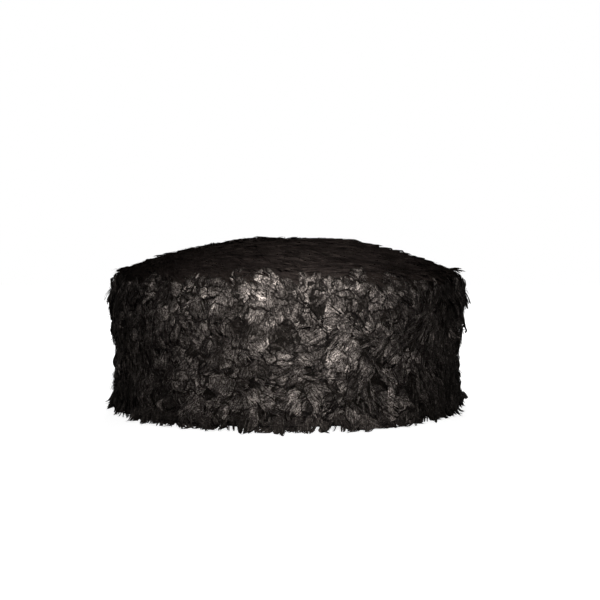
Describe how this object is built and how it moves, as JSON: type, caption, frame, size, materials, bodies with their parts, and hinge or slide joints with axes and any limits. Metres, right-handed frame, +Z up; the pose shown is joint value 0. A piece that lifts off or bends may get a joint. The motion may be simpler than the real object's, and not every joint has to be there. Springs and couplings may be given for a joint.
{
  "type": "feather pillbox hat",
  "caption": "Oval brimless hat with a straight side band and a low domed crown, covered in short overlapping feather locks over an open head hollow.",
  "frame": {"origin": "on the resting surface, under the middle of the hat", "axes": "+Z up from the hem to the crown, +Y from the front of the head to the back, +X across the head"},
  "size_m": [0.2003, 0.2293, 0.0931],
  "materials": {
    "band_feather": "short curled black-brown feather with a dull grey sheen",
    "crown_feather": "matt black-brown feather laid flat",
    "hem_feather": "matt black pointed feather tips"
  },
  "bodies": {
    "root": {"side_band": "band_feather", "crown": "crown_feather", "hem_fringe": "hem_feather"}
  },
  "joints": []
}
